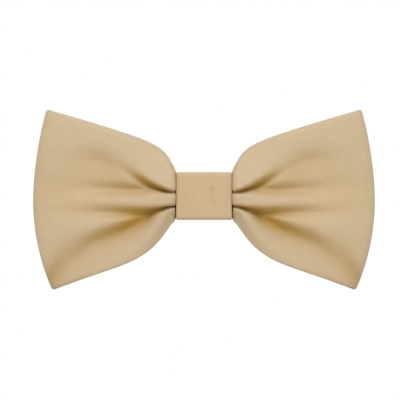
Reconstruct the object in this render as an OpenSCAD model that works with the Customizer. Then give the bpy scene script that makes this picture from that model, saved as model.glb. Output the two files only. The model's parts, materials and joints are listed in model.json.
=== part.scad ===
// Pre-tied satin bow with a spring clip behind its waist.
// X runs across the wings, Z up, and the front faces -Y. The origin is the middle of the
// clip's flat back face, level with the middle of the centre band. Millimetres.

/* [Wings] */
// Width across both wings
bow_w = 120; // [110:1:130]
// Half width where the upper corners are
top_corner_x = 55.3; // [52:0.1:57]
// Height of the upper corners above the waist's middle
top_corner_z = 30.4; // [26:0.1:33]
// Half width where the lower corners are
low_corner_x = 53.3; // [50:0.1:56]
// Depth of the lower corners below the waist's middle
low_corner_z = 33.2; // [29:0.1:36]
// Rise of the upper edge towards its corner, per millimetre
top_slope = 0.29; // [0.25:0.01:0.35]
// Fall of the lower edge towards its corner, per millimetre
low_slope = 0.366; // [0.3:0.001:0.4]
// How fast a wing opens from its pressed outer fold
fold_open = 12.6; // [11:0.1:14]

/* [Cloth] */
// Thickness of the loop's satin tube with its interlining
loop_t = 1.2; // [1:0.1:1.4]
// Thickness of the interlining inside the loop
lining_t = 0.5; // [0.3:0.1:0.6]
// Depth of the pleats at the waist
pleat_depth = 5.2; // [4.5:0.1:5.2]
// Half height of the pleated waist
waist_half_h = 6.8; // [6.5:0.1:6.8]

/* [Centre band] */
// Width of the centre band
band_w = 19.6; // [17:0.1:21]
// Height of the centre band
band_h = 16.8; // [16.8:0.1:18]
// Thickness of the folded centre band
band_t = 1.1; // [1:0.05:1.15]
// Radius of the band where it turns over the waist
band_corner = 2.0; // [1.6:0.1:3]

/* [Clip] */
// Width of both clip arms at the hinge
clip_w = 8; // [8:0.1:9]
// Thickness of the clip's sheet steel
sheet_t = 0.8; // [0.7:0.1:0.9]
// Distance from the hinge to the tips of the jaws
jaw_reach = 38.5; // [32:0.5:42]
// Distance from the hinge to the end of the tails
tail_reach = 12.5; // [11:0.5:13]
// Angle at which the lever's tail stands off
tail_angle = 25; // [22:1:27]
// Radius of the hinge pin
pin_r = 0.8; // [0.7:0.05:0.85]
// Wire thickness of the spring
wire_d = 0.5; // [0.4:0.05:0.5]

/* [Hidden] */
$fn = 48;

// Depths of the layers, from the clip's back face towards the front
plate_gap = 3.4;                         // clear space between the two clip arms
base_back_y = -sheet_t - plate_gap;
base_front_y = base_back_y - sheet_t;
loop_y = -9.5;                           // middle plane of the folded loop
front_puff_waist = 3.3;                  // loop middle to the front layer at the waist
back_puff_waist = 3.4;                   // loop middle to the back layer at the waist

// Wings
band_edge = band_w / 2;
wing_start = band_edge + 0.45;           // where the wings start to spread, clear of the band
top_drop_reach = 3;                      // how far out the upper edge dips to the waist
low_drop_reach = 6.2;                    // how far out the lower edge dips to the waist
front_steps = 13;                        // stations from the waist to the outer fold
back_steps = 8;                          // stations from the outer fold back to the waist
across_steps = 12;                       // stations from the lower to the upper edge
inner_edge = 0.985;                      // edges of the tube's inside, -1 to 1 up the cloth
lining_edge = 0.965;                     // edges of the stiffener inside it
lining_slack = 0.02;                     // gap between the stiffener and the satin round it
waist_x = 0.55 * band_edge;              // one station inside the band
end_gap = 0.1;                           // half the gap where the loop's two ends meet
wing_front = 2;                          // first station of the front of a wing
wing_fold = wing_front + front_steps;    // station on the outer fold
wing_back = wing_fold + back_steps;      // last station of the back of a wing
last_station = wing_back + 2;
pleats = [0.20, -0.52];                  // where the two front valleys lie, -1 to 1 up the cloth
pleat_half = 0.17;
neck_reach = 1.5;                        // how far out the front layer rises beside the band

function lerp(a, b, f) = a + (b - a) * f;

// Heights of the cloth's edges at a distance x from the middle, outside the band
function top_edge(x) = let(line = top_corner_z - top_slope * (top_corner_x - x),
                           root = top_corner_z - top_slope * (top_corner_x - wing_start))
    line - (root - waist_half_h) * exp(-pow(max(x - wing_start, 0) / top_drop_reach, 0.75));
function low_edge(x) = let(line = low_corner_z - low_slope * (low_corner_x - x),
                           root = low_corner_z - low_slope * (low_corner_x - wing_start))
    -line + (root - waist_half_h) * exp(-pow(max(x - wing_start, 0) / low_drop_reach, 1.2));
// Half width of the bow at a height v up the cloth, -1 to 1
function outer_x(v) = (bow_w - loop_t) / 2 - (v > 0
    ? (bow_w / 2 - top_corner_x) * pow(v, 1.75)
    : (bow_w / 2 - low_corner_x) * pow(-v, 1.85));

// Distance from the loop's middle plane, with w falling from 1 at the band to 0 at the fold.
// The band pulls the front in at the waist, which fades at a distance out beyond the start.
front_dip = 0.55;
back_dip = fold_open / back_puff_waist - 1;
neck_in = fold_open / (1 + front_dip) - front_puff_waist;
function front_puff(w, out) = fold_open * w / (1 + front_dip * w) - neck_in * exp(-out / neck_reach);
function back_puff(w) = fold_open * w / (1 + back_dip * w);

// Valley pattern up the cloth: 0 on a ridge, 1 in a valley and at the rolled edges
function valley(v) = min(1, exp(-pow((v - pleats[0]) / pleat_half, 2))
    + exp(-pow((v - pleats[1]) / pleat_half, 2)) + 0.6 * pow(abs(v), 8));

// Station j along half the loop: 0 at the front middle, last_station at the back middle
function station_w(j) = j <= wing_front ? 1
    : j <= wing_fold ? 1 - pow((j - wing_front) / front_steps, 1.4)
    : j <= wing_back ? 1 - pow((wing_back - j) / back_steps, 1.4) : 1;
function station_x(j, v) = j == 0 ? 0
    : j == 1 || j == last_station - 1 ? waist_x
    : j == last_station ? end_gap
    : lerp(wing_start, outer_x(v), 1 - pow(station_w(j), 2));
function station_y(j) = j <= wing_fold
    ? loop_y - front_puff(station_w(j), max(station_x(j, 0) - wing_start, 0))
    : loop_y + back_puff(station_w(j));
function pleat_y(j, v) = let(depth = pleat_depth * pow(station_w(j), 6))
    j <= wing_fold ? depth * valley(v) : -depth * (1 - valley(v));
// Outward direction of the loop in plan at station j
function outward(j) = let(a = max(j - 1, 0), b = min(j + 1, last_station),
                          dx = station_x(b, 0) - station_x(a, 0),
                          dy = station_y(b) - station_y(a), d = norm([dx, dy]))
    [dy / d, -dx / d];
// Point of the loop: side -1 or 1, station j, height v, and n outwards from its middle layer
function loop_point(side, j, v, n) = let(x = station_x(j, v), out = outward(j))
    [side * (x + n * out[0]),
     station_y(j) + pleat_y(j, v) + n * out[1],
     lerp(low_edge(x), top_edge(x), (v + 1) / 2)];

// Heights up the cloth. The satin has the stiffener's heights and its own edges beyond them,
// so that the facets of all the layers stay parallel.
lining_rows = [for (i = [0 : across_steps]) lerp(-lining_edge, lining_edge, i / across_steps)];
function satin_rows(v_edge) = concat([-v_edge], lining_rows, [v_edge]);
// Flat section of a strip: up its outer face and down its inner face
stations = [for (j = [last_station : -1 : 1]) [-1, j], for (j = [0 : last_station]) [1, j]];
function skin(rows, half_t) = [for (s = stations) each concat(
    [for (v = rows) loop_point(s[0], s[1], v, half_t)],
    [for (k = [len(rows) - 1 : -1 : 0]) loop_point(s[0], s[1], rows[k], -half_t)])];

// Faces of a skin with n points a section, starting at point first, facing out or in
function skin_faces(first, n, inside) = [for (k = [0 : len(stations) - 2]) for (i = [0 : n - 1])
    let(a = first + k * n + i, b = first + k * n + (i + 1) % n, c = b + n, d = a + n)
    each (inside ? [[a, b, c], [a, c, d]] : [[a, c, b], [a, d, c]])];
// Faces that close a section, and the rim between an outer and an inner section
function cap(first, n, flip) = [for (i = [0 : n / 2 - 2])
    let(a = first + i, b = a + 1, c = first + n - 2 - i, d = c + 1)
    each (flip ? [[a, c, b], [a, d, c]] : [[a, b, c], [a, c, d]])];
function rim(outer, inner, n, flip) = [for (i = [0 : n - 1])
    let(a = outer + i, b = outer + (i + 1) % n, c = inner + (i + 1) % n, d = inner + i)
    each (flip ? [[a, c, b], [a, d, c]] : [[a, b, c], [a, c, d]])];

satin = [0.82, 0.73, 0.59];
steel = [0.78, 0.79, 0.80];

// Satin tube folded into a loop: an outer and an inner skin, open at the two ends
module bow_loop() {
    section_n = 2 * len(satin_rows(1));
    skin_n = len(stations) * section_n;
    last = skin_n - section_n;
    color(satin) polyhedron(
        points = concat(skin(satin_rows(1), loop_t / 2),
                        skin(satin_rows(inner_edge), lining_t / 2 + lining_slack)),
        faces = concat(skin_faces(0, section_n, false), skin_faces(skin_n, section_n, true),
                       rim(0, skin_n, section_n, false),
                       rim(last, skin_n + last, section_n, true)));
}

// Stiffener that fills the satin tube
module loop_interlining() {
    section_n = 2 * len(lining_rows);
    last = (len(stations) - 1) * section_n;
    color([0.95, 0.95, 0.93]) polyhedron(
        points = skin(lining_rows, lining_t / 2),
        faces = concat(skin_faces(0, section_n, false), cap(0, section_n, false),
                       cap(last, section_n, true)));
}

// One straight piece of thread between two points
module stitch(a, b, r) {
    run = b - a;
    translate(a) rotate([0, acos(run[2] / norm(run)), atan2(run[1], run[0])])
        cylinder(h = norm(run), r = r, $fn = 16);
}

// Long seam of the tube, stitched along the inner face of both wings
seam_r = 0.15;
module loop_seam_thread() {
    depth = -(loop_t / 2 + seam_r + 0.06);
    spans = [[wing_front + 2 : wing_fold - 4], [wing_fold + 4 : wing_back - 3]];
    for (side = [-1, 1]) for (span = spans) for (j = span)
        let(a = loop_point(side, j, 0, depth), b = loop_point(side, j + 1, 0, depth))
            color(satin) stitch(lerp(a, b, 0.2), lerp(a, b, 0.8), seam_r);
}

// Hand stitches across the back of the pleats, beside the winding
tack_r = 0.2;
module loop_end_tacks() {
    back = loop_y + back_puff_waist + loop_t / 2 + tack_r + 0.02;
    for (side = [-1, 1]) for (v = pleats)
        color(satin) stitch([side * 2.6, back, v * waist_half_h],
                            [side * 4.4, back, v * waist_half_h], tack_r);
}

// Rectangle with rounded corners, from one corner to the opposite one
module round_box(low, high, r) {
    translate([low[0] + r, low[1]]) square([high[0] - low[0] - 2 * r, high[1] - low[1]]);
    translate([low[0], low[1] + r]) square([high[0] - low[0], high[1] - low[1] - 2 * r]);
    for (x = [low[0] + r, high[0] - r]) for (y = [low[1] + r, high[1] - r])
        translate([x, y]) circle(r);
}

// Closed strap of the given width round the waist; the 2D shape is [depth, height]
module strap(width, low, high, r, t) {
    translate([-width / 2, 0, 0]) rotate([90, 0, 90]) linear_extrude(width) difference() {
        round_box(low, high, r);
        round_box(low + [t, t], high - [t, t], max(r - t, 0.1));
    }
}

// Thread wound round the pleated waist
thread_t = 0.4;
winding_w = 3.2;
waist_low = [loop_y - front_puff_waist - loop_t / 2 - 0.05, -waist_half_h - 0.05];
waist_high = [loop_y + back_puff_waist + loop_t / 2 + 0.05, waist_half_h + 0.05];
module gather_thread() {
    color([0.80, 0.71, 0.56])
        strap(winding_w, waist_low - [thread_t, thread_t], waist_high + [thread_t, thread_t],
              thread_t + 0.3, thread_t);
}

// Centre band: the outer ply, the turned-in edges and a gap between them on the inner side
ply_t = 0.33;
band_low = [waist_low[0] - thread_t - 0.1 - band_t, -band_h / 2];
band_high = [base_back_y + 0.1 + band_t, band_h / 2];
turn_gap = 3;
module centre_band() {
    inset = [ply_t, ply_t];
    lining = band_t - 2 * ply_t;
    color(satin) difference() {
        strap(band_w, band_low, band_high, band_corner, band_t);
        strap(band_w - 2 * ply_t, band_low + inset, band_high - inset, band_corner - ply_t, lining);
        strap(turn_gap, band_low + 1.5 * inset, band_high - 1.5 * inset,
              band_corner - 1.5 * ply_t, band_t);
    }
}

// Stiffener inside the centre band, a little smaller than the space it lies in
module band_interlining() {
    slack = 0.02;
    inset = [ply_t + slack, ply_t + slack];
    color([0.95, 0.95, 0.93])
        strap(band_w - 2 * (ply_t + slack), band_low + inset, band_high - inset,
              band_corner - ply_t - slack, band_t - 2 * (ply_t + slack));
}

// Slip stitches along the band's lapped end, on its back
module band_stitches() {
    r = 0.15;
    y = band_high[0] + r + 0.02;
    for (i = [-2 : 2])
        color(satin) stitch([i * 3.6 - 0.4, y, -6.1], [i * 3.6 + 0.4, y, -5.0], r);
}

// Clip
hinge_x = -14.5;
hinge_y = -sheet_t - plate_gap / 2;
tip_w = 5.6;
ear_r = pin_r + 0.5;
base_ear_z = clip_w / 2 - sheet_t;       // inner face of the base's ears
lever_ear_t = 0.6;                       // ears and side flanges of the lever
lever_ear_z = base_ear_z - 0.2 - lever_ear_t;
bend_x = hinge_x - 1.5;                  // where the lever's tail bends away

// Flat arm from the hinge side to the jaws, tapering to the tip, lying in XZ
module arm_outline(from_x, to_x) {
    r = 1.2;
    polygon([[from_x, -clip_w / 2], [to_x - 12, -clip_w / 2], [to_x - r, -tip_w / 2],
             [to_x - r, tip_w / 2], [to_x - 12, clip_w / 2], [from_x, clip_w / 2]]);
    translate([to_x - r - 0.1, -tip_w / 2 + r]) square([r + 0.1, tip_w - 2 * r]);
    for (z = [-1, 1]) translate([to_x - r, z * (tip_w / 2 - r)]) circle(r);
}
// Plate of the outline below it, with its front face at y
module plate(y) {
    translate([0, y + sheet_t, 0]) rotate([90, 0, 0]) linear_extrude(sheet_t) children();
}
// Tail that ends in a half round, running from x = 0 to -length
module tail_outline(length) {
    r = clip_w / 2;
    translate([-length + r, 0]) circle(r);
    translate([-length + r, -r]) square([length - r, clip_w]);
}
// Row of teeth across the jaw: from y = root to y = point
module teeth(x, root, point) {
    pitch = tip_w / 5;
    translate([x, 0, 0]) rotate([90, 0, 90]) linear_extrude(sheet_t) for (i = [0 : 4])
        polygon([[root, (i - 2.5) * pitch], [point, (i - 2) * pitch], [root, (i - 1.5) * pitch]]);
}
// Round hinge ear with its web to the plate at y = root, between two heights z
module ear(root, z, t, hole_r) {
    translate([hinge_x, hinge_y, z]) difference() {
        union() {
            cylinder(h = t, r = ear_r);
            linear_extrude(t) polygon([[-ear_r, 0], [ear_r, 0], [ear_r + 0.9, root - hinge_y],
                                       [-ear_r - 0.9, root - hinge_y]]);
        }
        translate([0, 0, -1]) cylinder(h = t + 2, r = hole_r);
    }
}

jaw_x = hinge_x + jaw_reach;
teeth_meet = hinge_y;
overlap = 0.1;                           // depth by which joined shapes run into each other
module clip_base() {
    color(steel) union() {
        plate(base_front_y) arm_outline(hinge_x, jaw_x);
        translate([hinge_x, 0, 0]) plate(base_front_y) tail_outline(tail_reach);
        teeth(jaw_x - sheet_t - 0.4, base_back_y - overlap, teeth_meet - 0.05);
        for (z = [base_ear_z, -base_ear_z - sheet_t])
            ear(base_back_y - overlap, z, sheet_t, pin_r + 0.02);
    }
}

module clip_lever() {
    flange_h = 0.9;
    flange_x = hinge_x + 3.4;                // the flanges run from beside the ears to the taper
    color(steel) union() {
        plate(-sheet_t) arm_outline(bend_x, jaw_x);
        translate([bend_x, -sheet_t, 0]) rotate([0, 0, -tail_angle])
            plate(0) tail_outline((tail_reach + hinge_x - bend_x) / cos(tail_angle));
        translate([bend_x, 0, -clip_w / 2]) intersection() {
            cylinder(h = clip_w, r = sheet_t);
            translate([-sheet_t, -sheet_t, 0]) cube([sheet_t, sheet_t, clip_w]);
        }
        for (z = [clip_w / 2 - lever_ear_t, -clip_w / 2])
            translate([flange_x, -sheet_t - flange_h, z])
                cube([jaw_x - 13 - flange_x, flange_h + overlap, lever_ear_t]);
        teeth(jaw_x - sheet_t - 0.4, -sheet_t + overlap, teeth_meet + 0.05);
        for (z = [lever_ear_z, -lever_ear_z - lever_ear_t])
            ear(-sheet_t + overlap, z, lever_ear_t, pin_r + 0.05);
    }
}

// Riveted pin with a head outside each ear of the base
module clip_pin() {
    head_t = 0.4;
    half = clip_w / 2 + 0.03;
    color([0.85, 0.85, 0.86]) translate([hinge_x, hinge_y, 0]) {
        cylinder(h = 2 * half, r = pin_r, center = true);
        for (z = [half, -half - head_t]) translate([0, 0, z]) cylinder(h = head_t, r = pin_r + 0.35);
    }
}

// Torsion spring: one wire swept along a leg, the coil and the other leg
coil_r = pin_r + 0.25 + wire_d / 2;
coil_turns = 5.5;
coil_pitch = 0.53;
turn_steps = 16;
wire_sides = 8;
leg = 8;
// The base's leg leaves straight from the coil's underside. The lever's leg leaves from its top
// and bends up beside the raised tail.
coil_start = 270;
bend_run = hinge_x - bend_x + 0.1;
function coil_point(f) = let(a = coil_start + f * 360 * coil_turns)
    [coil_r * cos(a), coil_r * sin(a), (f - 0.5) * coil_turns * coil_pitch];
coil_steps = turn_steps * coil_turns;
leg_bend = coil_point(1) - [bend_run, 0, 0];
spring_path = concat(
    [coil_point(0) - [leg, 0, 0]],
    [for (i = [0 : coil_steps]) coil_point(i / coil_steps)],
    [leg_bend, leg_bend + (leg - bend_run) * [-cos(tail_angle), sin(tail_angle), 0]]);
// Ring of the swept wire at point i of the path
function wire_ring(path, i) =
    let(n = len(path), t = path[min(i + 1, n - 1)] - path[max(i - 1, 0)], d = t / norm(t),
        u = cross([0, 0, 1], d) / norm(cross([0, 0, 1], d)), w = cross(d, u))
    [for (k = [0 : wire_sides - 1]) let(a = 360 * k / wire_sides)
        path[i] + wire_d / 2 * (cos(a) * u + sin(a) * w)];
module clip_spring() {
    n = len(spring_path);
    points = [for (i = [0 : n - 1]) each wire_ring(spring_path, i)];
    sides = [for (i = [0 : n - 2]) for (k = [0 : wire_sides - 1])
        let(a = i * wire_sides + k, b = i * wire_sides + (k + 1) % wire_sides,
            c = b + wire_sides, d = a + wire_sides)
        each [[a, c, b], [a, d, c]]];
    caps = [[for (k = [0 : wire_sides - 1]) k],
            [for (k = [wire_sides - 1 : -1 : 0]) (n - 1) * wire_sides + k]];
    color([0.6, 0.6, 0.62]) translate([hinge_x, hinge_y, 0])
        polyhedron(points = points, faces = concat(sides, caps));
}

bow_loop();
loop_interlining();
loop_seam_thread();
loop_end_tacks();
gather_thread();
centre_band();
band_interlining();
band_stitches();
clip_base();
clip_lever();
clip_pin();
clip_spring();
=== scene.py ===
import json
import math

import bpy
import numpy as np
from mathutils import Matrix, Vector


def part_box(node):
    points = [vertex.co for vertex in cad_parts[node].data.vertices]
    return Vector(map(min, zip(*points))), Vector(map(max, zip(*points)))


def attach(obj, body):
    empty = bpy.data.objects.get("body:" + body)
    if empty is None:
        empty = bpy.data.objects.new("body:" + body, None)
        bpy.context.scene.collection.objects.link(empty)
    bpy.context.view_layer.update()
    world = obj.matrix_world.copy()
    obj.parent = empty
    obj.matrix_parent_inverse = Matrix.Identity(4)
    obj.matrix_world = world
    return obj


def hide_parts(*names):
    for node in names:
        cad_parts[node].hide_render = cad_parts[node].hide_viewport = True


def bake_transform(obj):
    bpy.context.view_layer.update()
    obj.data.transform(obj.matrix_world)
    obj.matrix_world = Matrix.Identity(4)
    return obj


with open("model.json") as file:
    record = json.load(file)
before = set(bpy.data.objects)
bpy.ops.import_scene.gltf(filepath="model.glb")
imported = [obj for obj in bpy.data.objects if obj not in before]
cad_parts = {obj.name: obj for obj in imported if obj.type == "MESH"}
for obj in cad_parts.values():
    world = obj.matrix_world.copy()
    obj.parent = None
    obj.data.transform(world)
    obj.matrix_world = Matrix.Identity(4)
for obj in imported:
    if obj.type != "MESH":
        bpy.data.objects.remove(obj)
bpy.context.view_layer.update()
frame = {"nodes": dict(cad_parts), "record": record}
MM = 0.001

# ---------------------------------------------------------------- Camera, light and floor
# A level camera without perspective, square on to the bow's front. The bow hangs a little
# right of the middle of the frame. White surround, one broad lamp.
wing_low, wing_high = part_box("bow_loop")
wing_middle = (np.array(wing_low) + np.array(wing_high)) / 2
wing_width = wing_high[0] - wing_low[0]
view_width = 1.170 * wing_width
side_shift = 0.0100 * view_width
camera_away = 0.60

camera_data = bpy.data.cameras.new("camera")
camera_data.type = "ORTHO"
camera_data.ortho_scale = view_width
camera = bpy.data.objects.new("camera", camera_data)
camera.location = (wing_middle[0] - side_shift, -camera_away, wing_middle[2])
camera.rotation_euler = (math.radians(90), 0, 0)
bpy.context.collection.objects.link(camera)
bpy.context.scene.camera = camera
bpy.context.scene.view_settings.view_transform = "Standard"


def soft_lamp(name, distance, azimuth, elevation, size, power):
    """Square lamp at a distance from the bow, turned to face it. Azimuth 0 is in front."""
    data = bpy.data.lights.new(name, "AREA")
    data.size = size
    data.energy = power
    lamp = bpy.data.objects.new(name, data)
    a = math.radians(azimuth)
    e = math.radians(elevation)
    way = np.array([math.sin(a) * math.cos(e), -math.cos(a) * math.cos(e), math.sin(e)])
    lamp.location = wing_middle + distance * way
    lamp.rotation_euler = (math.radians(90) - e, 0, a)
    bpy.context.collection.objects.link(lamp)


soft_lamp("key_lamp", distance=0.60, azimuth=0, elevation=42, size=0.35, power=1.25)

world = bpy.data.worlds.new("studio")
world.use_nodes = True
world_nodes = world.node_tree.nodes
world_links = world.node_tree.links
surround = world_nodes["Background"]
surround.inputs["Color"].default_value = (1, 1, 1, 1)
surround.inputs["Strength"].default_value = 0.70
backdrop = world_nodes.new("ShaderNodeBackground")
backdrop.inputs["Color"].default_value = (1, 1, 1, 1)
backdrop.inputs["Strength"].default_value = 1.0
light_path = world_nodes.new("ShaderNodeLightPath")
either = world_nodes.new("ShaderNodeMixShader")
world_links.new(light_path.outputs["Is Camera Ray"], either.inputs[0])
world_links.new(surround.outputs[0], either.inputs[1])
world_links.new(backdrop.outputs[0], either.inputs[2])
world_links.new(either.outputs[0], world_nodes["World Output"].inputs["Surface"])
bpy.context.scene.world = world

floor_half = 12.0                  # wide enough to reach the horizon of a level view
floor_z = wing_low[2] - 0.0001     # just under the bow
floor_mesh = bpy.data.meshes.new("floor")
floor_mesh.from_pydata([(-floor_half, -floor_half, floor_z), (floor_half, -floor_half, floor_z),
                        (floor_half, floor_half, floor_z), (-floor_half, floor_half, floor_z)],
                       [], [(0, 1, 2, 3)])
floor = bpy.data.objects.new("floor", floor_mesh)
bpy.context.collection.objects.link(floor)
floor_paint = bpy.data.materials.new("floor_paint")
floor_paint.use_nodes = True
floor_shader = floor_paint.node_tree.nodes["Principled BSDF"]
floor_shader.inputs["Base Color"].default_value = (0.80, 0.80, 0.79, 1)
floor_shader.inputs["Roughness"].default_value = 0.8
floor_mesh.materials.append(floor_paint)

# ---------------------------------------------------------------- Satin loop
# The bow itself: one flat satin tube, 65 mm wide and 250 mm long, folded into a loop whose
# ends meet at the centre back. Its outer ends are soft folds and its middle is pleated.
# Sizes are in millimetres; v runs from -1 at the lower edge of the cloth to 1 at the upper.


def box_mm(node):
    """The low and high corners of a node's box, in millimetres."""
    return [np.array(corner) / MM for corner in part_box(node)]


band_low, band_high = box_mm("centre_band")
loop_low, loop_high = box_mm("bow_loop")
band_edge = band_high[0]
half_width = loop_high[0]
tube_t = 1.2                       # satin, interlining, satin
ply_t = 0.3                        # one layer of the satin
cut_width = 65.0                   # the tube laid flat
top_corner = (55.3, loop_high[2] + 0.15)
low_corner = (53.3, -loop_low[2])
top_slope = 0.290
low_slope = 0.366
waist_half = 6.8                   # half the height of the pleated waist
loop_y = -9.5                      # middle plane of the loop
fold_open = 12.6                   # how fast the loop opens from its outer fold
front_dip = 0.55                   # how much the front layer flattens towards the band
front_waist = 3.3                  # middle plane to the front layer at the waist
back_waist = 3.4
back_dip = fold_open / back_waist - 1
neck_in = fold_open / (1 + front_dip) - front_waist    # the front layer tucks in at the band
neck_reach = 0.75
pleat_depth = 5.2
pleat_reach = 0.5                  # how far the waist's pleats run out beside the band
outer_share = 0.05                 # w squared over which the folds die out behind the fold
front_steps = 56
back_steps = 26
across_steps = 115
shared_v = 0.955                   # the layers differ only outside this
rim_place = np.array([0.4, 0.8, 1.0])
edge_thin = np.array([0.45, 0.80, 0.95])
under_band = [0, 0.35, 0.7]        # stations covered by the band, from its middle
inner_edge_v = 0.985               # where the satin's inner face turns, inside the edge
full_shade_depth = 6.5                 # fold depth at which the painted crease shade is full
back_shade_share = 0.4                # the back layer's folds get less painted crease shade


def ease(t):
    """Smooth step from 0 to 1: 3t^2 - 2t^3 on the clamped t."""
    t = np.clip(t, 0, 1)
    return t * t * (3 - 2 * t)


def bell(gap, width, power=2):
    """1 where the gap is 0, fading as exp(-(gap / width)^power): a bell curve for power 2."""
    return np.exp(-(gap / width) ** power)


def top_edge(x):
    """Height of the upper edge: a straight rise to the corner, less a dip that fades from
    the band as exp(-(distance / 3)^0.75), with a slight bulge as a bell curve. The distance is
    taken up to 0.5 mm short near the band, so that the edge leaves it on a slant."""
    line = top_corner[1] - top_slope * (top_corner[0] - x)
    root = top_corner[1] - top_slope * (top_corner[0] - band_edge)
    out = np.maximum(x - band_edge, 0)
    short = 0.5 * (1 - bell(out, 0.6, 1)) * bell(out, 2)
    return line - (root - waist_half) * bell(out - short, 3.0, 0.75) + 0.12 * bell(x - 45, 10)


def low_edge(x):
    """Height of the lower edge: a straight fall to the corner, raised near the band by a
    term that fades as exp(-(distance / 6.2)^1.2), with two slight bulges as bell curves."""
    line = low_corner[1] - low_slope * (low_corner[0] - x)
    root = low_corner[1] - low_slope * (low_corner[0] - band_edge)
    out = np.maximum(x - band_edge, 0)
    bulge = 0.62 * bell(x - 24, 13) * ease(out / 3) + 0.8 * ease(out / 1.2) * bell(out, 2.2)
    return (root - waist_half) * bell(out, 6.2, 1.2) - line - bulge


def outer_x(v):
    """Distance of the outer fold at height v up the cloth: the half width less a power of v,
    so the pressed end bulges between its two corners."""
    top = (half_width - top_corner[0]) * np.maximum(v, 0) ** 1.75
    low = (half_width - low_corner[0]) * np.maximum(-v, 0) ** 1.85
    return half_width - tube_t / 2 - top - low


def furrow(gap, above, below, sharp):
    """Cross-section of a fold line: 1 on the line and exp(-r^1.5) beside it, where r is the
    gap over the width above or below, rounded at the bottom by sharp (0 is a knife edge)."""
    r = gap / np.where(gap > 0, above, below)
    return bell(np.sqrt(r * r + sharp * sharp) - sharp, 1, 1.5)


def terrace(drop, width, reach):
    """Step back below a fold line: 0 above it, then 1 - exp(-r^1.3), where r is the drop
    below the line over the width, fading as exp(-(drop / reach)^2)."""
    drop = np.maximum(drop, 0)
    return (1 - bell(drop, width, 1.3)) * bell(drop, reach)


def front_folds(x, z):
    """How far the front layer sinks behind its puffed surface, as furrows and steps that fan
    out from the waist and edges that roll back. Also how much painted shade the colour gets:
    how deep in a fold the cloth lies, which is the furrows and the slopes under them, counted
    for less towards the wing's end. Every width grows with the distance out from the band."""
    out = np.maximum(x - band_edge, 0)
    emerging = 0.62 + 0.38 * ease((x - 10) / 5)
    # Upper crease: sharp under the top lobe, fading towards the middle of the wing
    upper = 1.3 + 11.4 * ease((x - 10) / 30)
    upper_depth = 5.0 * emerging * bell(out, 15, 4.5)
    crease = upper_depth * furrow(z - upper, 0.31 + 0.088 * out, 0.28 + 0.088 * out, 0.10)
    # Beyond it, a broad faint hollow; the top lobe leans back from the crease to the edge
    hollow = 2.6 * bell(x - 37, 11) * furrow(z - upper + 1.2, 3.2, 5.5, 0.6)
    lean = 0.24 * bell(x - 16, 10) * np.maximum(z - upper - 1.5, 0)
    # Branch of the upper crease: a shallow, nearly level furrow that widens towards the end
    level = 1.9 + 0.012 * x
    level_depth = 3.0 * (ease((x - 15) / 7) * bell(np.maximum(x - 30, 0), 30, 1.5))
    widening = ease((x - 36) / 16)
    level_above = 0.8 + 0.06 * out + 2.2 * widening
    level_below = 0.9 + 0.05 * out + 4.0 * widening
    shallow = level_depth * furrow(z - level, level_above, level_below, 0.2)
    # Lower crease: the deepest, from the waist out to where its branch takes over
    lower = -5.7 + 2.1 * bell(x - 10, 6.2)
    lower_depth = 5.2 * emerging * bell(out, 29)
    lower_above = 0.30 + 0.070 * out
    lower_below = 0.28 + 0.100 * out
    crease = crease + lower_depth * furrow(z - lower, lower_above, lower_below, 0.06)
    # Branch of the lower crease: widens into a broad valley that ends in the lower corner
    run = x - 17.6
    branch = -6.0 - 0.53 * run + 0.0045 * run ** 2 - 0.012 * np.maximum(x - 36, 0) ** 2.4
    broad = 2.6 * ease((x - 40) / 12)
    branch_depth = 4.0 * ease((x - 15) / 5)
    branch_depth = branch_depth * (1 - 0.45 * ease((x - 30) / 16) + 0.28 * ease((x - 46) / 7))
    branch_above = 0.9 + 0.045 * out + broad
    branch_below = 1.3 + 0.09 * out
    crease = crease + branch_depth * furrow(z - branch, branch_above, branch_below, 0.2)
    # The slope under the branch, and the step back of the cloth below it
    slope = 0.9 * ease((x - 18) / 6) * bell(np.maximum(x - 30, 0), 60, 1)
    slope = slope * furrow(z - branch + 1.2, 1.0 + broad, 1.2 + 0.10 * out, 0.3)
    fall = 4.8 * ease((x - 13) / 12) * (1 - 0.8 * ease((x - 42) / 11))
    steps = fall * terrace(branch + 0.8 - z, 1.4 + 0.12 * out, 6 + 0.3 * out)
    # Both edges roll back, most at the waist
    near = bell(out, 9, 1)
    under = bell(out, 12, 1.5)
    from_top = top_edge(x) - z
    from_low = z - low_edge(x)
    rolled = (0.6 + 4.2 * near) * bell(from_top, 0.7 + 0.4 * near, 1)
    rolled = rolled + 0.4 * bell(from_low, 0.9, 1)
    rolled = rolled + 4.4 * under * bell(from_low, 1.6 + 3.6 * under)
    # painted shade: the share of fold depth that darkens the colour, less towards the wing's end
    shade_share = 0.42 + 0.58 * bell(np.maximum(x - 21, 0), 12, 1.6)
    depth = shade_share * (crease + 0.6 * shallow + 0.55 * hollow + slope)
    return crease + shallow + hollow + lean + steps + rolled, depth


def waist_folds(v):
    """The pleats as they lie under the band: two valleys and rolled edges, from 0 to 1."""
    return np.minimum(1, bell(v - 0.20, 0.17) + bell(v + 0.52, 0.17) + 0.6 * np.abs(v) ** 8)


def half_loop():
    """Stations along half the strip, front middle to back middle: w runs 1 to 0 to 1 with
    the fold at 0, and under is the fraction of the band's half width on the stations that
    the band covers, 1 elsewhere."""
    front = 1 - np.linspace(0, 1, front_steps + 1) ** 1.5
    back = 1 - np.linspace(1, 0, back_steps + 1)[1:] ** 1.35
    w = np.concatenate([[1, 1, 1], front, back, [1, 1, 1]])
    back_gap = 0.012               # the strip's two ends stop just short of each other
    under = np.concatenate([under_band, 1 + 0 * front, 1 + 0 * back,
                            under_band[:0:-1], [back_gap]])
    is_front = np.arange(len(w)) < len(under_band) + len(front)
    return w, under, is_front


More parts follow.
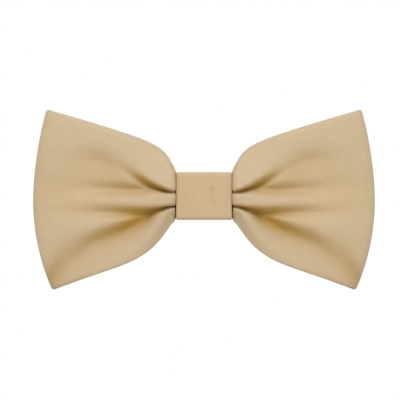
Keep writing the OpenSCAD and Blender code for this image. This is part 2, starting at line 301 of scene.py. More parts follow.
def loop_grid(v, stations):
    """Middle layer of half the loop on stations by v: x from the waist or the fold, z between
    the two edges, y from the puff, the waist pleats and the folds. Also the outward direction
    in plan, which the plies are offset along so that they stay nested, and the fold depth
    that sets the painted crease shade."""
    w, under, is_front = (column[:, None] for column in stations)
    v = v[None, :]
    x_wing = band_edge + (outer_x(v) - band_edge) * (1 - w * w)
    x = np.where(under < 1, band_edge * under, x_wing)
    z = low_edge(x) + (top_edge(x) - low_edge(x)) * (v + 1) / 2
    out = np.maximum(x - band_edge, 0)
    neck = neck_in * bell(out, neck_reach, 3)
    front_y = loop_y - fold_open * w / (1 + front_dip * w) + neck
    back_y = loop_y + fold_open * w / (1 + back_dip * w)
    base_y = np.where(is_front, front_y, back_y) + 0 * v
    near = bell(out, pleat_reach)
    sink, _ = front_folds(x, z)
    above = np.minimum(0.1 + 0.045 * out, 1.2)      # the painted crease shade lies above the fold's line
    _, depth = front_folds(x, z - above)
    folds = sink * (1 - near) + pleat_depth * waist_folds(v) * near
    behind = np.exp(-w * w / outer_share)
    back_folds = sink * behind - pleat_depth * w ** 6 * (1 - waist_folds(v))
    y = base_y + np.where(is_front, folds, back_folds)
    middle = v.shape[1] // 2
    dx = np.gradient(x[:, middle])
    dy = np.gradient(base_y[:, middle])
    length = np.hypot(dx, dy)
    outward = np.stack([dy / length, -dx / length], axis=1)
    depth = np.where(is_front, depth, back_shade_share * depth * behind)
    return np.stack([x, y, z + 0 * x], axis=-1), outward, depth


def tube_section(edge_v, half_t):
    """Closed section of a flat tube as (v, n): up the outer face and down the inner one, where
    n is the offset outwards from the middle layer. Three points thin each edge down. Every
    layer has the same rows between its edges, so that one never shows through another."""
    rim = shared_v + (edge_v - shared_v) * rim_place
    inside = np.linspace(-shared_v, shared_v, across_steps)
    v = np.concatenate([-rim[::-1], inside, rim])
    n = half_t * np.concatenate([edge_thin, 1 + 0 * inside, edge_thin[::-1]])
    return np.concatenate([v, v[::-1]]), np.concatenate([n, -n[::-1]])


def tube_skin(edge_v, half_t):
    """Points of a whole skin, stations by section points: the grid's points moved out by n,
    and the left half mirrors the right. Also v and the painted crease shade of each point."""
    v, n = tube_section(edge_v, half_t)
    points, outward, depth = loop_grid(v, half_loop())
    points[:, :, :2] += outward[:, None, :] * n[None, :, None]
    both = np.concatenate([points[::-1] * [-1, 1, 1], points[1:]])
    return both, v, np.concatenate([depth[::-1], depth[1:]])


def grid_faces(rows, columns, first=0, flip=False, closed_rows=False):
    """Quads of a grid whose last column joins its first, and its last row where asked."""
    r, c = np.meshgrid(np.arange(rows - 1 + closed_rows), np.arange(columns), indexing="ij")
    below = first + r * columns
    above = first + (r + 1) % rows * columns
    beside = (c + 1) % columns
    quads = np.stack([below + c, below + beside, above + beside, above + c], axis=-1)
    quads = quads.reshape(-1, 4)
    return quads[:, ::-1] if flip else quads


def make_piece(name, points, faces, corner_uv=None, smooth=True):
    """Mesh object from arrays in millimetres, with a UV pair for each corner of each face."""
    mesh = bpy.data.meshes.new(name)
    places = np.asarray(points).reshape(-1, 3) * MM
    mesh.from_pydata(places.tolist(), [], [list(face) for face in faces])
    if corner_uv is not None:
        layer = mesh.uv_layers.new(name="cloth")
        layer.data.foreach_set("uv", np.asarray(corner_uv, dtype=np.float32).ravel())
    mesh.polygons.foreach_set("use_smooth", np.full(len(mesh.polygons), smooth))
    mesh.update()
    piece = bpy.data.objects.new(name, mesh)
    bpy.context.collection.objects.link(piece)
    return piece


def grid_uv(along, across):
    """UV pairs in millimetres for the points of a grid, rows by columns."""
    pairs = np.stack(np.broadcast_arrays(along[:, None], across[None, :]), axis=-1)
    return pairs.reshape(-1, 2)


def store_values(piece, name, values):
    """Keeps one number for each point of a piece as a named attribute."""
    layer = piece.data.attributes.new(name, "FLOAT", "POINT")
    layer.data.foreach_set("value", values.ravel().astype(np.float32))


outer, section_v, crease_shade = tube_skin(1.0, tube_t / 2)
inner, _, inner_crease_shade = tube_skin(inner_edge_v, tube_t / 2 - ply_t)
rows, columns = outer.shape[:2]
ring = np.arange(columns)
ring_next = (ring + 1) % columns
skin_points = rows * columns
start_rim = np.stack([ring, ring + skin_points, ring_next + skin_points, ring_next], axis=1)
end_rim = (start_rim + (rows - 1) * columns)[:, ::-1]
loop_faces = np.concatenate([grid_faces(rows, columns, 0, True),
                             grid_faces(rows, columns, skin_points, False),
                             start_rim, end_rim])
walk = np.linalg.norm(np.diff(outer[:, columns // 4], axis=0), axis=1)
along = np.concatenate([[0], np.cumsum(walk)])
cloth_uv = np.concatenate([grid_uv(along, cut_width / 2 * section_v)] * 2)
loop = make_piece("satin_loop", np.concatenate([outer.reshape(-1, 3), inner.reshape(-1, 3)]),
                  loop_faces, cloth_uv[loop_faces])
# painted shade: fold depth scaled 0 to 1, stored to darken the satin in its creases
crease_shade_values = np.concatenate([crease_shade.ravel(), inner_crease_shade.ravel()])
store_values(loop, "crease", np.clip(crease_shade_values / full_shade_depth, 0, 1))
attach(loop, "bow")
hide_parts("bow_loop")


def new_group(name, inputs, outputs):
    """Empty shader node group with float inputs given as (name, value), a vector input first,
    and named outputs. Gives the group with its two end nodes."""
    group = bpy.data.node_groups.new(name, "ShaderNodeTree")
    group.interface.new_socket("Place", in_out="INPUT", socket_type="NodeSocketVector")
    for label, value in inputs:
        socket = group.interface.new_socket(label, in_out="INPUT", socket_type="NodeSocketFloat")
        socket.default_value = value
    for label in outputs:
        group.interface.new_socket(label, in_out="OUTPUT", socket_type="NodeSocketFloat")
    return group, group.nodes.new("NodeGroupInput"), group.nodes.new("NodeGroupOutput")


def math_node(tree, operation, first, second=0.0, third=0.0, clamp=False):
    """Math node whose inputs are numbers or sockets; gives its output."""
    node = tree.nodes.new("ShaderNodeMath")
    node.operation = operation
    node.use_clamp = clamp
    for slot_number, value in enumerate((first, second, third)):
        if isinstance(value, (int, float)):
            node.inputs[slot_number].default_value = value
        else:
            tree.links.new(value, node.inputs[slot_number])
    return node.outputs[0]


def stretched(tree, vector, scale):
    """Mapping node that scales a vector; gives its output."""
    node = tree.nodes.new("ShaderNodeMapping")
    node.inputs["Scale"].default_value = scale
    tree.links.new(vector, node.inputs["Vector"])
    return node.outputs[0]


def noise(tree, vector, scale, detail=2.0, rough=0.5):
    """Noise texture read at the vector; gives its value output."""
    node = tree.nodes.new("ShaderNodeTexNoise")
    node.inputs["Scale"].default_value = scale
    node.inputs["Detail"].default_value = detail
    node.inputs["Roughness"].default_value = rough
    tree.links.new(vector, node.inputs["Vector"])
    return node.outputs[0]


def ribs(tree, vector, direction, scale, waver):
    """Sine bands across x or y, wavered by noise; gives the value output."""
    node = tree.nodes.new("ShaderNodeTexWave")
    node.bands_direction = direction
    node.inputs["Scale"].default_value = scale
    node.inputs["Distortion"].default_value = waver
    node.inputs["Detail"].default_value = 1.0
    tree.links.new(vector, node.inputs["Vector"])
    return node.outputs["Fac"]


def satin_weave():
    """Satin as a group on a cloth position in mm. Height: warp ribs 0.3 mm apart crossed by
    weaker weft ribs. Grain: streaks along the warp. Cloudy: slow change over centimetres."""
    group, start, end = new_group("satin_weave", [("Weft", 0.35)], ["Height", "Grain", "Cloudy"])
    place = start.outputs["Place"]
    warp = ribs(group, place, "Y", 1.05, 0.25)
    weft = ribs(group, place, "X", 0.80, 0.4)
    crossed = math_node(group, "MULTIPLY_ADD", weft, start.outputs["Weft"], warp)
    group.links.new(crossed, end.inputs["Height"])
    streaks = noise(group, stretched(group, place, (0.30, 1.3, 1)), 1.0, 3.0, 0.62)
    specks = noise(group, stretched(group, place, (0.9, 1.1, 1)), 1.3, 2.0, 0.6)
    streak_part = math_node(group, "MULTIPLY", streaks, 0.55)
    grain = math_node(group, "MULTIPLY_ADD", specks, 0.45, streak_part)
    group.links.new(grain, end.inputs["Grain"])
    group.links.new(noise(group, place, 0.055, 2.0, 0.5), end.inputs["Cloudy"])
    return group


def mixed(tree, factor, first, second):
    """Colour mix of two colours or sockets by a factor socket; gives the colour output."""
    node = tree.nodes.new("ShaderNodeMix")
    node.data_type = "RGBA"
    tree.links.new(factor, node.inputs[0])
    for slot_number, value in ((6, first), (7, second)):
        if isinstance(value, tuple):
            node.inputs[slot_number].default_value = value
        else:
            tree.links.new(value, node.inputs[slot_number])
    return node.outputs[2]


def spread(tree, value, low, high, to_low=0.0, to_high=1.0):
    """Map Range node, clamped; gives its output."""
    node = tree.nodes.new("ShaderNodeMapRange")
    node.inputs["From Min"].default_value = low
    node.inputs["From Max"].default_value = high
    node.inputs["To Min"].default_value = to_low
    node.inputs["To Max"].default_value = to_high
    tree.links.new(value, node.inputs["Value"])
    return node.outputs[0]


def new_material(name, roughness, specular):
    """Material with its node tree, its Principled shader and the shader's fixed values."""
    material = bpy.data.materials.new(name)
    material.use_nodes = True
    tree = material.node_tree
    shader = tree.nodes["Principled BSDF"]
    shader.inputs["Roughness"].default_value = roughness
    shader.inputs["Specular IOR Level"].default_value = specular
    return material, tree, shader


def bumped(tree, shader, height, strength, distance):
    """Bump node between a height and the shader's normal."""
    node = tree.nodes.new("ShaderNodeBump")
    node.inputs["Strength"].default_value = strength
    node.inputs["Distance"].default_value = distance * MM
    tree.links.new(height, node.inputs["Height"])
    tree.links.new(node.outputs[0], shader.inputs["Normal"])


def cloth_place(tree):
    """Output of a UV Map node that reads the cloth position in mm."""
    node = tree.nodes.new("ShaderNodeUVMap")
    node.uv_map = "cloth"
    return node.outputs[0]


def placed_group(tree, group, place):
    """Group node fed with a position."""
    node = tree.nodes.new("ShaderNodeGroup")
    node.node_tree = group
    tree.links.new(place, node.inputs["Place"])
    return node


def satin(name, bright, dusk, cloudiness, weft, lift):
    """Satin material on the weave group: bright and dusk mixed along the grain, then clouded
    with dusk by a share. Gives the material and the colour's output, for painted shade."""
    material, tree, shader = new_material(name, 0.5, 0.28)
    shader.inputs["Sheen Weight"].default_value = 0.06
    shader.inputs["Sheen Roughness"].default_value = 0.4
    cloth = placed_group(tree, weave, cloth_place(tree))
    cloth.inputs["Weft"].default_value = weft
    grain = cloth.outputs["Grain"]
    colour = mixed(tree, spread(tree, grain, 0.36, 0.64), dusk, bright)
    cloud_mask = spread(tree, cloth.outputs["Cloudy"], 0.35, 0.65, 0.0, cloudiness)
    colour = mixed(tree, cloud_mask, colour, dusk)
    tree.links.new(spread(tree, grain, 0.3, 0.7, 0.56, 0.44), shader.inputs["Roughness"])
    bumped(tree, shader, cloth.outputs["Height"], lift, 0.03)
    return material, colour


def paint_shade(material, colour, attribute, full_at, share, tint):
    """Base colour of a material with painted shade: a colour mixed towards tint, a shade colour,
    as a named attribute rises from 0, by at most a share, which it reaches at full_at."""
    tree = material.node_tree
    node = tree.nodes.new("ShaderNodeAttribute")
    node.attribute_name = attribute
    shade_mask = spread(tree, node.outputs["Fac"], 0.0, full_at, 0.0, share)
    base_colour = tree.nodes["Principled BSDF"].inputs["Base Color"]
    tree.links.new(mixed(tree, shade_mask, colour, tint), base_colour)


weave = satin_weave()
wing_gold = (0.680, 0.522, 0.332, 1)
wing_dusk = (0.612, 0.462, 0.280, 1)
painted_fold_shade = (0.535, 0.337, 0.078, 1)   # painted shade: deep folds painted darker and richer, for shade and the light bouncing in them
wing_satin, wing_colour = satin("wing_satin", wing_gold, wing_dusk, cloudiness=0.22, weft=0.35,
                                lift=0.30)
# painted shade in the wing's creases, following the crease attribute
paint_shade(wing_satin, wing_colour, "crease", 0.55, 1.0, painted_fold_shade)
loop.data.materials.append(wing_satin)

# ---------------------------------------------------------------- Loop stiffener
# A strip of off-white non-woven interlining, 63 mm wide and 0.5 mm thick, slipped into the
# satin tube before it is folded, so it follows every fold and stops short of the edges.
lining_t = 0.50
lining_width = 63.0
lining_edge_v = 0.973              # stops inside the satin's folded edge
lining, lining_v, _ = tube_skin(lining_edge_v, lining_t / 2)
fill = np.arange(columns // 2 - 1)
start_cap = np.stack([fill, columns - 1 - fill, columns - 2 - fill, fill + 1], axis=1)
end_cap = (start_cap + (rows - 1) * columns)[:, ::-1]
lining_faces = np.concatenate([grid_faces(rows, columns, 0, True), start_cap, end_cap])
lining_uv = grid_uv(along, lining_width / 2 * lining_v)
stiffener = make_piece("loop_stiffener", lining, lining_faces, lining_uv[lining_faces])
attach(stiffener, "bow")
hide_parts("loop_interlining")


def felted_fibres():
    """Non-woven fibre web as a group on a cloth position in mm: two crossed fields of short
    streaks. Height and Fibre are the larger of the two."""
    group, start, end = new_group("felted_fibres", [("Lift", 1.0)], ["Height", "Fibre"])
    place = start.outputs["Place"]
    one_way = noise(group, stretched(group, place, (0.5, 2.6, 1)), 1.4, 3.0, 0.6)
    other_way = noise(group, stretched(group, place, (2.4, 0.6, 1)), 1.4, 3.0, 0.6)
    fibre = math_node(group, "MAXIMUM", one_way, other_way)
    group.links.new(fibre, end.inputs["Fibre"])
    group.links.new(math_node(group, "MULTIPLY", fibre, start.outputs["Lift"]), end.inputs["Height"])
    return group


fibres = felted_fibres()
interlining, tree, shader = new_material("interlining", 0.9, 0.15)
web = placed_group(tree, fibres, cloth_place(tree))
web_mask = spread(tree, web.outputs["Fibre"], 0.45, 0.70)
web_dull = (0.74, 0.73, 0.69, 1)
web_bright = (0.90, 0.89, 0.86, 1)
tree.links.new(mixed(tree, web_mask, web_dull, web_bright), shader.inputs["Base Color"])
tree.links.new(spread(tree, web.outputs["Fibre"], 0.4, 0.7, 0.95, 0.80), shader.inputs["Roughness"])
bumped(tree, shader, web.outputs["Height"], 0.5, 0.08)
stiffener.data.materials.append(interlining)

# ---------------------------------------------------------------- Loop seam
# The tube is closed by one long lock-stitched seam along the middle of its inner face: short
# stitches of matching polyester thread, lying on the cloth and pressed slightly into it.
seam_r = 0.15
seam_steps = 90                    # points on each of a wing's two runs
stitch_pitch = 3.0
stitch_length = 2.3


def swept_thread(paths, radius, sides, away):
    """Round threads along paths, an array of threads by points by xyz. Each ring stands square
    to the path, on two directions crossed from the tangent and away. Both ends are domed by
    three rings that shrink as a quarter circle. UV is the length in mm by the turn 0 to 1."""
    tangent = np.gradient(paths, axis=1)
    tangent /= np.linalg.norm(tangent, axis=2, keepdims=True)
    dome = np.radians([80, 55, 28])
    sunk = radius * np.sin(dome)[None, :, None]
    centres = np.concatenate([paths[:, :1] - sunk * tangent[:, :1], paths,
                              paths[:, -1:] + sunk[:, ::-1] * tangent[:, -1:]], axis=1)
    tangents = np.concatenate([tangent[:, [0, 0, 0]], tangent, tangent[:, [-1, -1, -1]]], axis=1)
    flat_rings = np.full(paths.shape[1], radius)
    radii = np.concatenate([radius * np.cos(dome), flat_rings, radius * np.cos(dome[::-1])])
    side_way = np.cross(np.broadcast_to(away, tangents.shape), tangents)
    side_way /= np.linalg.norm(side_way, axis=2, keepdims=True)
    up_way = np.cross(tangents, side_way)
    angle = 2 * np.pi * np.arange(sides) / sides
    points = (centres[:, :, None]
              + radii[None, :, None, None] * (np.cos(angle)[:, None] * side_way[:, :, None]
                                              + np.sin(angle)[:, None] * up_way[:, :, None]))
    threads, rings = points.shape[:2]
    first = np.arange(threads) * rings * sides
    faces = (grid_faces(rings, sides, 0, False)[None] + first[:, None, None]).reshape(-1, 4)
    cap = np.arange(sides)
    caps = np.concatenate([first[:, None] + cap[::-1], first[:, None] + (rings - 1) * sides + cap])
    step = np.linalg.norm(np.diff(centres, axis=1), axis=2)
    travel = np.concatenate([np.zeros((threads, 1)), np.cumsum(step, axis=1)], axis=1)
    uv = np.stack(np.broadcast_arrays(travel[:, :, None], angle[None, None] / (2 * np.pi)), axis=-1)
    side_uv = uv.reshape(-1, 2)[faces]
    wraps = (faces % sides).max(axis=1) - (faces % sides).min(axis=1) > 1
    side_uv[:, :, 1] += wraps[:, None] & (faces % sides == 0)
    cap_uv = uv.reshape(-1, 2)[caps]
    corner_uv = np.concatenate([side_uv.reshape(-1, 2), cap_uv.reshape(-1, 2)])
    return points, faces.tolist() + caps.tolist(), corner_uv


def seam_stations():
    """Stations on the inner face of a wing, front run then back run, away from the fold."""
    w = np.concatenate([np.linspace(0.90, 0.30, seam_steps), np.linspace(0.30, 0.86, seam_steps)])
    return w, np.ones(len(w)), np.arange(len(w)) < seam_steps


seam_middle, seam_out, _ = loop_grid(np.array([0.0, 0.001]), seam_stations())
seam_line = seam_middle[:, 0]
seam_line[:, :2] -= seam_out * (tube_t / 2 + 0.8 * seam_r)


def stitched_run(line):
    """Stitches along a line: each starts at a mark of the stitch pitch and follows the line
    for the stitch length."""
    step = np.linalg.norm(np.diff(line, axis=0), axis=1)
    travel = np.concatenate([[0], np.cumsum(step)])
    starts = np.arange(0.5, travel[-1] - stitch_pitch, stitch_pitch)
    t = np.linspace(0, 1, 9)
    at = starts[:, None] + stitch_length * t
    return np.stack([np.interp(at, travel, line[:, axis]) for axis in range(3)], axis=-1)


seam_right = np.concatenate([stitched_run(seam_line[:seam_steps]),
                             stitched_run(seam_line[seam_steps:])])
seam_paths = np.concatenate([seam_right, seam_right[:, ::-1] * [-1, 1, 1]])
seam_points, seam_faces, seam_uv = swept_thread(seam_paths, seam_r, 10, np.array([0, 0, 1.0]))
seam = make_piece("loop_seam", seam_points, seam_faces, seam_uv)
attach(seam, "bow")
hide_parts("loop_seam_thread")


def twisted_yarn():
    """Two-ply thread as a group on (length in mm, turn): the plies lie in slanted bands, a
    sine of the turn and the length over the twist. Height and Ply are that sine, 0 to 1;
    Ply is low in the grooves between the plies, which get painted shade."""
    group, start, end = new_group("twisted_yarn", [("Plies", 2.0), ("Twist", 1.1)],
                                  ["Height", "Ply"])
    parts = group.nodes.new("ShaderNodeSeparateXYZ")
    group.links.new(start.outputs["Place"], parts.inputs[0])
    lean = math_node(group, "MULTIPLY", parts.outputs[0], start.outputs["Twist"])
    turn = math_node(group, "MULTIPLY_ADD", parts.outputs[1], start.outputs["Plies"], lean)
    wave = math_node(group, "SINE", math_node(group, "MULTIPLY", turn, 2 * math.pi))
    height = math_node(group, "MULTIPLY_ADD", wave, 0.5, 0.5)
    group.links.new(height, end.inputs["Height"])
    group.links.new(height, end.inputs["Ply"])
    return group


yarn = twisted_yarn()
thread_gold, tree, shader = new_material("thread_gold", 0.5, 0.4)
strand = placed_group(tree, yarn, cloth_place(tree))
thread_groove_shade = (0.42, 0.30, 0.16, 1)
thread_light = (0.64, 0.49, 0.30, 1)
# painted shade: the thread darker in the grooves between its plies, lighter on their crests
tree.links.new(mixed(tree, strand.outputs["Ply"], thread_groove_shade, thread_light),
               shader.inputs["Base Color"])
tree.links.new(spread(tree, strand.outputs["Ply"], 0.0, 1.0, 0.62, 0.42), shader.inputs["Roughness"])
bumped(tree, shader, strand.outputs["Height"], 0.6, 0.05)
seam.data.materials.append(thread_gold)

# ---------------------------------------------------------------- Tacks and winding
# The pleats are tacked at the back by hand, three strands a tack, and then held by eight
# turns of thread wound tightly round the waist, under the centre band.
tack_low, tack_high = box_mm("loop_end_tacks")
wind_low, wind_high = box_mm("gather_thread")
tack_r = 0.14
tack_side = 3.5                    # distance of the tacks from the middle
tack_half = 0.9                    # half a tack's length
tack_row = 0.3                     # between the strands of a tack
tack_arch = 0.1
tack_inset = 0.2
wind_turns = 8
wind_r = 0.19
wind_corner = 0.6


def tack_paths():
    """Twelve short threads: three side by side on each of two pleats and both sides, arched
    back by 0.1 mm as 1 - t^2."""
    t = np.linspace(-1, 1, 9)
    pleats = [tack_low[2] + tack_inset, tack_high[2] - tack_inset]
    strands = [-tack_row, 0.0, tack_row]
    side, pleat, strand_row = np.meshgrid([-1.0, 1.0], pleats, strands, indexing="ij")
    side, pleat, strand_row = (a.ravel()[:, None] for a in (side, pleat, strand_row))
    x = side * tack_side + (tack_half - tack_r) * t
    y = (tack_low[1] + tack_high[1]) / 2 - tack_arch + tack_arch * (1 - t * t) + 0 * side
    z = pleat + strand_row + 0.08 * t * side
    return np.stack([x, y, z], axis=-1)


tack_points, tack_faces, tack_uv = swept_thread(tack_paths(), tack_r, 10, np.array([0, 1.0, 0]))
tacks = make_piece("loop_tacks", tack_points, tack_faces, tack_uv)
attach(tacks, "bow")
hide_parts("loop_end_tacks")
tacks.data.materials.append(thread_gold)


def round_rectangle(low, high, radius, turn_steps, marks):
    """Rectangle in (y, z) from low to high with round corners, from the front lower corner up
    the front, back over the top and down the back. marks are the fractions of each straight
    side, front, top, back and bottom, that get a point. Gives points and outward directions."""
    low = np.asarray(low)
    high = np.asarray(high)
    centres = np.array([[low[0] + radius, low[1] + radius], [low[0] + radius, high[1] - radius],
                        [high[0] - radius, high[1] - radius], [high[0] - radius, low[1] + radius]])
    angle = np.radians(270 - 90 * np.arange(4)[:, None] - np.linspace(0, 90, turn_steps))
    ways = np.stack([np.cos(angle), np.sin(angle)], axis=-1)
    arcs = centres[:, None] + radius * ways
    points = []
    outward = []
    for side in range(4):
        f = np.asarray(marks[side])[:, None]
        here = arcs[side, -1]
        there = arcs[(side + 1) % 4, 0]
        points += [arcs[side], here + (there - here) * f]
        outward += [ways[side], ways[side, -1] + 0 * f]
    return np.concatenate(points), np.concatenate(outward)


def winding_path():
    """One thread round the waist: the rounded rectangle repeated for each turn, moving along x
    by the wound width over all its points."""
    middle = np.linspace(0, 1, 6)[1:-1]
    lap, _ = round_rectangle(wind_low[1:] + wind_r, wind_high[1:] - wind_r, wind_corner, 7,
                             [middle] * 4)
    around = np.tile(lap, (wind_turns, 1))
    reach = (wind_high[0] - wind_low[0]) / 2 - wind_r
    x = np.linspace(-reach, reach, len(around))
    return np.concatenate([x[:, None], around], axis=1)[None]


wind_points, wind_faces, wind_uv = swept_thread(winding_path(), wind_r, 10, np.array([1.0, 0, 0]))
winding = make_piece("gather_winding", wind_points, wind_faces, wind_uv)
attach(winding, "bow")
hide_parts("gather_thread")
winding.data.materials.append(thread_gold)

# ---------------------------------------------------------------- Centre band
# A strip of the same satin with both edges turned in, wrapped once round the waist and over
# the clip's base. Its end laps over on the back, where it is slip-stitched down.
band_t = 1.1
band_ply = 0.33
band_corner = 1.5
turn_gap = 3.0                     # between the two turned-in edges
pucker_depth = 0.20
lap_z = -5.55                      # where the lapped end stops
lap_t = 0.22
lap_marks = (band_high[2] - band_corner - (lap_z + np.array([0.05, -0.05]))) / (
    band_high[2] - band_low[2] - 2 * band_corner)
side_marks = [np.linspace(0, 1, 34)[1:-1], np.linspace(0, 1, 12)[1:-1],
              np.sort(np.concatenate([np.linspace(0, 1, 22)[1:-1], lap_marks])),
              np.linspace(0, 1, 12)[1:-1]]


def band_section():
    """Closed section as (x, n): the outer face, round the fold, in along the turned-in edge,
    back out inside it, round, and along the inside of the outer ply; then the other side."""
    edge = band_edge - band_t / 2
    fold = np.radians(np.linspace(90, -90, 11))
    inside = band_t / 2 - band_ply
    reach = np.linspace(edge, turn_gap / 2, 12)[1:]
    face = np.linspace(0, edge, 42)[1:-1]
    outer_half = [[face, band_t / 2 + 0 * face],
                  [edge + band_t / 2 * np.cos(fold), band_t / 2 * np.sin(fold)],
                  [reach, -band_t / 2 + 0 * reach],
                  [reach[::-1], -inside + 0 * reach],
                  [edge + inside * np.cos(fold[::-1]), inside * np.sin(fold[::-1])],
                  [face[::-3], inside + 0 * face[::-3]]]
    x = np.concatenate([run[0] for run in outer_half])
    n = np.concatenate([run[1] for run in outer_half])
    return np.concatenate([x, -x[::-1]]), np.concatenate([n, n[::-1]])


def band_pucker(x, z):
    """A shallow upright pucker right of the middle, a bell curve across, in three short
    lengths that are bell curves too, from 0 to 1."""
    lengths = bell(z - 2.0, 1.4) + 0.4 * bell(z + 2.6, 1.4) + 0.5 * bell(z - 6.6, 1.2)
    return lengths * bell(x - 2.9 - 0.08 * (2 - z), 0.85)


def band_relief(x, z):
    """Unevenness of the band's face: the pucker and slow waves about 0.05 mm high."""
    waves = np.sin(0.9 * x + 0.4 * z) * np.sin(0.55 * z + 1.1) + 0.5 * np.sin(1.7 * x + 2.0)
    return -pucker_depth * band_pucker(x, z) + 0.035 * waves


band_x, band_n = band_section()
strap, strap_out = round_rectangle(band_low[1:] + band_t / 2, band_high[1:] - band_t / 2,
                                   band_corner - band_t / 2, 9, side_marks)
offset = band_n[None, :] + 0 * strap[:, :1]
outer_ply = (band_n > 0)[None, :]
facing = np.clip(-strap_out[:, :1], 0, 1) ** 2
fading = 1 - np.clip(np.abs(band_x) / band_edge, 0, 1)[None, :] ** 8
offset += outer_ply * facing * fading * band_relief(band_x[None, :], strap[:, 1:])
on_back = strap_out[:, :1] > 0.5
on_bottom = (strap_out[:, 1:] < -0.7) & ~on_back
lap_run = 8.0                      # the lap's thickness grows over this much of the bottom
under_lap = on_back * (strap[:, 1:] < lap_z)
under_lap = under_lap + on_bottom * ease((strap[:, :1] - band_low[1]) / lap_run)
on_face = (band_n > band_t / 2 - 0.1)[None, :]
offset -= on_face * lap_t * np.clip(under_lap, 0, 1)
band_points = np.stack([band_x[None, :] + 0 * offset, strap[:, :1] + strap_out[:, :1] * offset,
                        strap[:, 1:] + strap_out[:, 1:] * offset], axis=-1)
band_rows, band_columns = offset.shape
band_faces = grid_faces(band_rows, band_columns, 0, False, True)
band_step = np.linalg.norm(np.diff(strap, axis=0, append=strap[:1]), axis=1)
band_along = np.concatenate([[0], np.cumsum(band_step)])
band_corner_uv = grid_uv(band_along[:-1], band_x)[band_faces]
last_row = band_faces.max(axis=1) >= (band_rows - 1) * band_columns
on_first = band_faces < band_columns
band_corner_uv[:, :, 0] += band_along[-1] * (last_row[:, None] & on_first)
band = make_piece("centre_band_satin", band_points, band_faces, band_corner_uv)
# painted shade: the pucker, stored to darken the band's colour there
store_values(band, "pucker", outer_ply * facing * band_pucker(band_x[None, :], strap[:, 1:]))
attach(band, "bow")
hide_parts("centre_band")

band_gold = (0.685, 0.512, 0.303, 1)
band_dusk = (0.610, 0.451, 0.262, 1)
pucker_shade = (0.500, 0.358, 0.190, 1)
band_satin, band_colour = satin("band_satin", band_gold, band_dusk, cloudiness=0.25, weft=0.5,
                                lift=0.35)
# painted shade in the band's pucker
paint_shade(band_satin, band_colour, "pucker", 1.0, 0.6, pucker_shade)
band.data.materials.append(band_satin)

# ---------------------------------------------------------------- Band stiffener
# A narrower strip of the same interlining, folded inside the band between its plies.
ply_gap = 0.03                     # between the stiffener and the satin
side_gap = 0.3
core_t = band_t - 2 * (band_ply + ply_gap)
core_half = band_edge - band_ply - ply_gap - side_gap
core_x = core_half * np.array([-1, -1 / 3, 1 / 3, 1, 1, 1 / 3, -1 / 3, -1])
core_n = core_t / 2 * np.array([1, 1, 1, 1, -1, -1, -1, -1])
core_points = np.stack([core_x[None, :] + 0 * strap[:, :1],
                        strap[:, :1] + strap_out[:, :1] * core_n,
                        strap[:, 1:] + strap_out[:, 1:] * core_n], axis=-1)
core_faces = grid_faces(band_rows, len(core_x), 0, False, True)
core_uv = grid_uv(band_along[:-1], core_x)
band_core = make_piece("band_stiffener", core_points, core_faces, core_uv[core_faces],
                       smooth=False)
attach(band_core, "bow")
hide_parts("band_interlining")
band_core.data.materials.append(interlining)

# ---------------------------------------------------------------- Band stitches
# Five slip stitches across the lapped end on the band's back, each a slanted pair of strands.
hem_low, hem_high = box_mm("band_stitches")
hem_r = 0.13
hem_pitch = 3.6
hem_slant = 0.45                   # half a strand's reach along the band
hem_half = 0.5                     # half its reach across the lap's edge
hem_pair = 0.16                    # half the gap between a stitch's two strands
hem_arch = 0.12


def hem_paths():
    """Two strands for each of five stitches: slanted across the lap's edge, arched back as
    1 - t^2 and sunk into the cloth at both ends."""
    t = np.linspace(-1, 1, 11)
    place, strand_row = np.meshgrid(hem_pitch * np.arange(-2, 3), [-hem_pair, hem_pair],
                                    indexing="ij")
    place = place.ravel()[:, None]
    strand_row = strand_row.ravel()[:, None]
    x = place + hem_slant * t + strand_row
    y = hem_high[1] - 2.4 * hem_r + hem_arch * (1 - t * t) + 0 * place
    z = (hem_low[2] + hem_high[2]) / 2 + hem_half * t + 0 * place
    return np.stack([x, y, z], axis=-1)


hem_points, hem_faces, hem_uv = swept_thread(hem_paths(), hem_r, 10, np.array([0, 1.0, 0]))
hem = make_piece("band_slip_stitches", hem_points, hem_faces, hem_uv)
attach(hem, "bow")
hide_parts("band_stitches")
hem.data.materials.append(thread_gold)

# ---------------------------------------------------------------- Clip base, lever and pin
# Stamped from 0.8 mm sheet steel, folded and nickel plated: a base under the band, a lever
# behind it and a riveted pin through both pairs of ears. Rolled grain runs along the arms.


def rolled_metal():
    """Plated sheet as a group on an object position in metres: fine grain lines stretched
    along x, and sparse handling marks. Grain and Marks run from 0 to 1."""
    group, start, end = new_group("rolled_metal", [("Depth", 1.0)], ["Height", "Grain", "Marks"])
    place = start.outputs["Place"]
    lines = noise(group, stretched(group, place, (300, 9000, 9000)), 1.0, 3.0, 0.6)
    blots = noise(group, stretched(group, place, (150, 150, 150)), 1.0, 3.0, 0.5)
    group.links.new(lines, end.inputs["Grain"])
    group.links.new(math_node(group, "MULTIPLY", lines, start.outputs["Depth"]), end.inputs["Height"])
    group.links.new(blots, end.inputs["Marks"])
    return group


def plated(name, bright, dull, low_rough, high_rough, depth):
    """Metal material: colour and roughness follow the marks and the rolled grain."""
    material, tree, shader = new_material(name, low_rough, 0.5)
    shader.inputs["Metallic"].default_value = 1.0
    place = tree.nodes.new("ShaderNodeTexCoord")
    metal = placed_group(tree, rolled, place.outputs["Object"])
    metal.inputs["Depth"].default_value = depth
    tree.links.new(mixed(tree, spread(tree, metal.outputs["Marks"], 0.45, 0.75), bright, dull),
                   shader.inputs["Base Color"])
    worn = math_node(tree, "MULTIPLY_ADD", metal.outputs["Marks"], 0.6,
                     math_node(tree, "MULTIPLY", metal.outputs["Grain"], 0.4))
    tree.links.new(spread(tree, worn, 0.35, 0.65, low_rough, high_rough),
                   shader.inputs["Roughness"])
    bumped(tree, shader, metal.outputs["Height"], 0.25, 0.02)
    return material


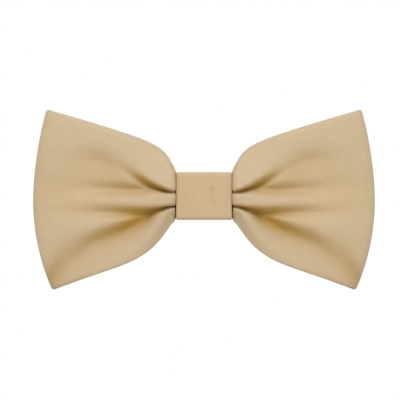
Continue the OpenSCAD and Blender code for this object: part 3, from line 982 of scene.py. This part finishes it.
rolled = rolled_metal()
clip_nickel = plated("clip_nickel", bright=(0.67, 0.65, 0.62, 1), dull=(0.61, 0.59, 0.56, 1),
                     low_rough=0.22, high_rough=0.29, depth=1.0)
pin_steel = plated("pin_steel", bright=(0.72, 0.72, 0.72, 1), dull=(0.55, 0.55, 0.55, 1),
                   low_rough=0.22, high_rough=0.40, depth=0.6)


def refinish(node, material):
    """Gives a carried node one material in place of its own."""
    slots = frame["nodes"][node].data.materials
    slots.clear()
    slots.append(material)


refinish("clip_base", clip_nickel)
refinish("clip_lever", clip_nickel)
refinish("clip_pin", pin_steel)

# ---------------------------------------------------------------- Clip spring
# A torsion spring of 0.5 mm spring wire: five and a half turns round the pin, one leg flat on
# the base's tail and the other bent back along the lever's tail.
hinge = np.array(frame["record"]["behaviour"]["joints"][0]["pos_m"]) / MM
wire_r = 0.25
coil_r = 1.30
coil_turns = 5.5
coil_pitch = 0.53
leg_length = 8.0
leg_gap = 0.1                      # between a leg's first point and the coil's end
bend_run = 1.6
bend_length = 1.0
tail_angle = math.radians(25)


def spring_path():
    """The wire's middle line: a straight leg, a helix of 5.5 turns that starts in front of the
    pin and ends behind it, and a leg that bends back by the tail's angle, rounded over 1 mm."""
    turn = np.linspace(0, 1, 221)
    angle = math.radians(270) + 2 * math.pi * coil_turns * turn
    coil = np.stack([coil_r * np.cos(angle), coil_r * np.sin(angle),
                     (turn - 0.5) * coil_turns * coil_pitch], axis=1)
    back = np.linspace(leg_length, leg_gap, 20)[:, None]
    first_leg = coil[0] - back * [1, 0, 0]
    run = np.linspace(leg_gap, leg_length, 60)
    lean = tail_angle * ease((run - bend_run + bend_length / 2) / bend_length)
    step = np.diff(run, prepend=0)
    last_leg = coil[-1] + np.stack([-np.cumsum(step * np.cos(lean)),
                                    np.cumsum(step * np.sin(lean)), 0 * run], axis=1)
    return (np.concatenate([first_leg, coil, last_leg]) + hinge)[None]


along_pin = np.array([0, 0, 1.0])
spring_points, spring_faces, spring_uv = swept_thread(spring_path(), wire_r, 16, along_pin)
spring = make_piece("clip_spring_wire", spring_points, spring_faces, spring_uv)
drawn_wire = plated("drawn_wire", bright=(0.60, 0.60, 0.61, 1), dull=(0.42, 0.42, 0.43, 1),
                    low_rough=0.26, high_rough=0.46, depth=0.5)
spring.data.materials.append(drawn_wire)
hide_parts("clip_spring")
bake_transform(spring)
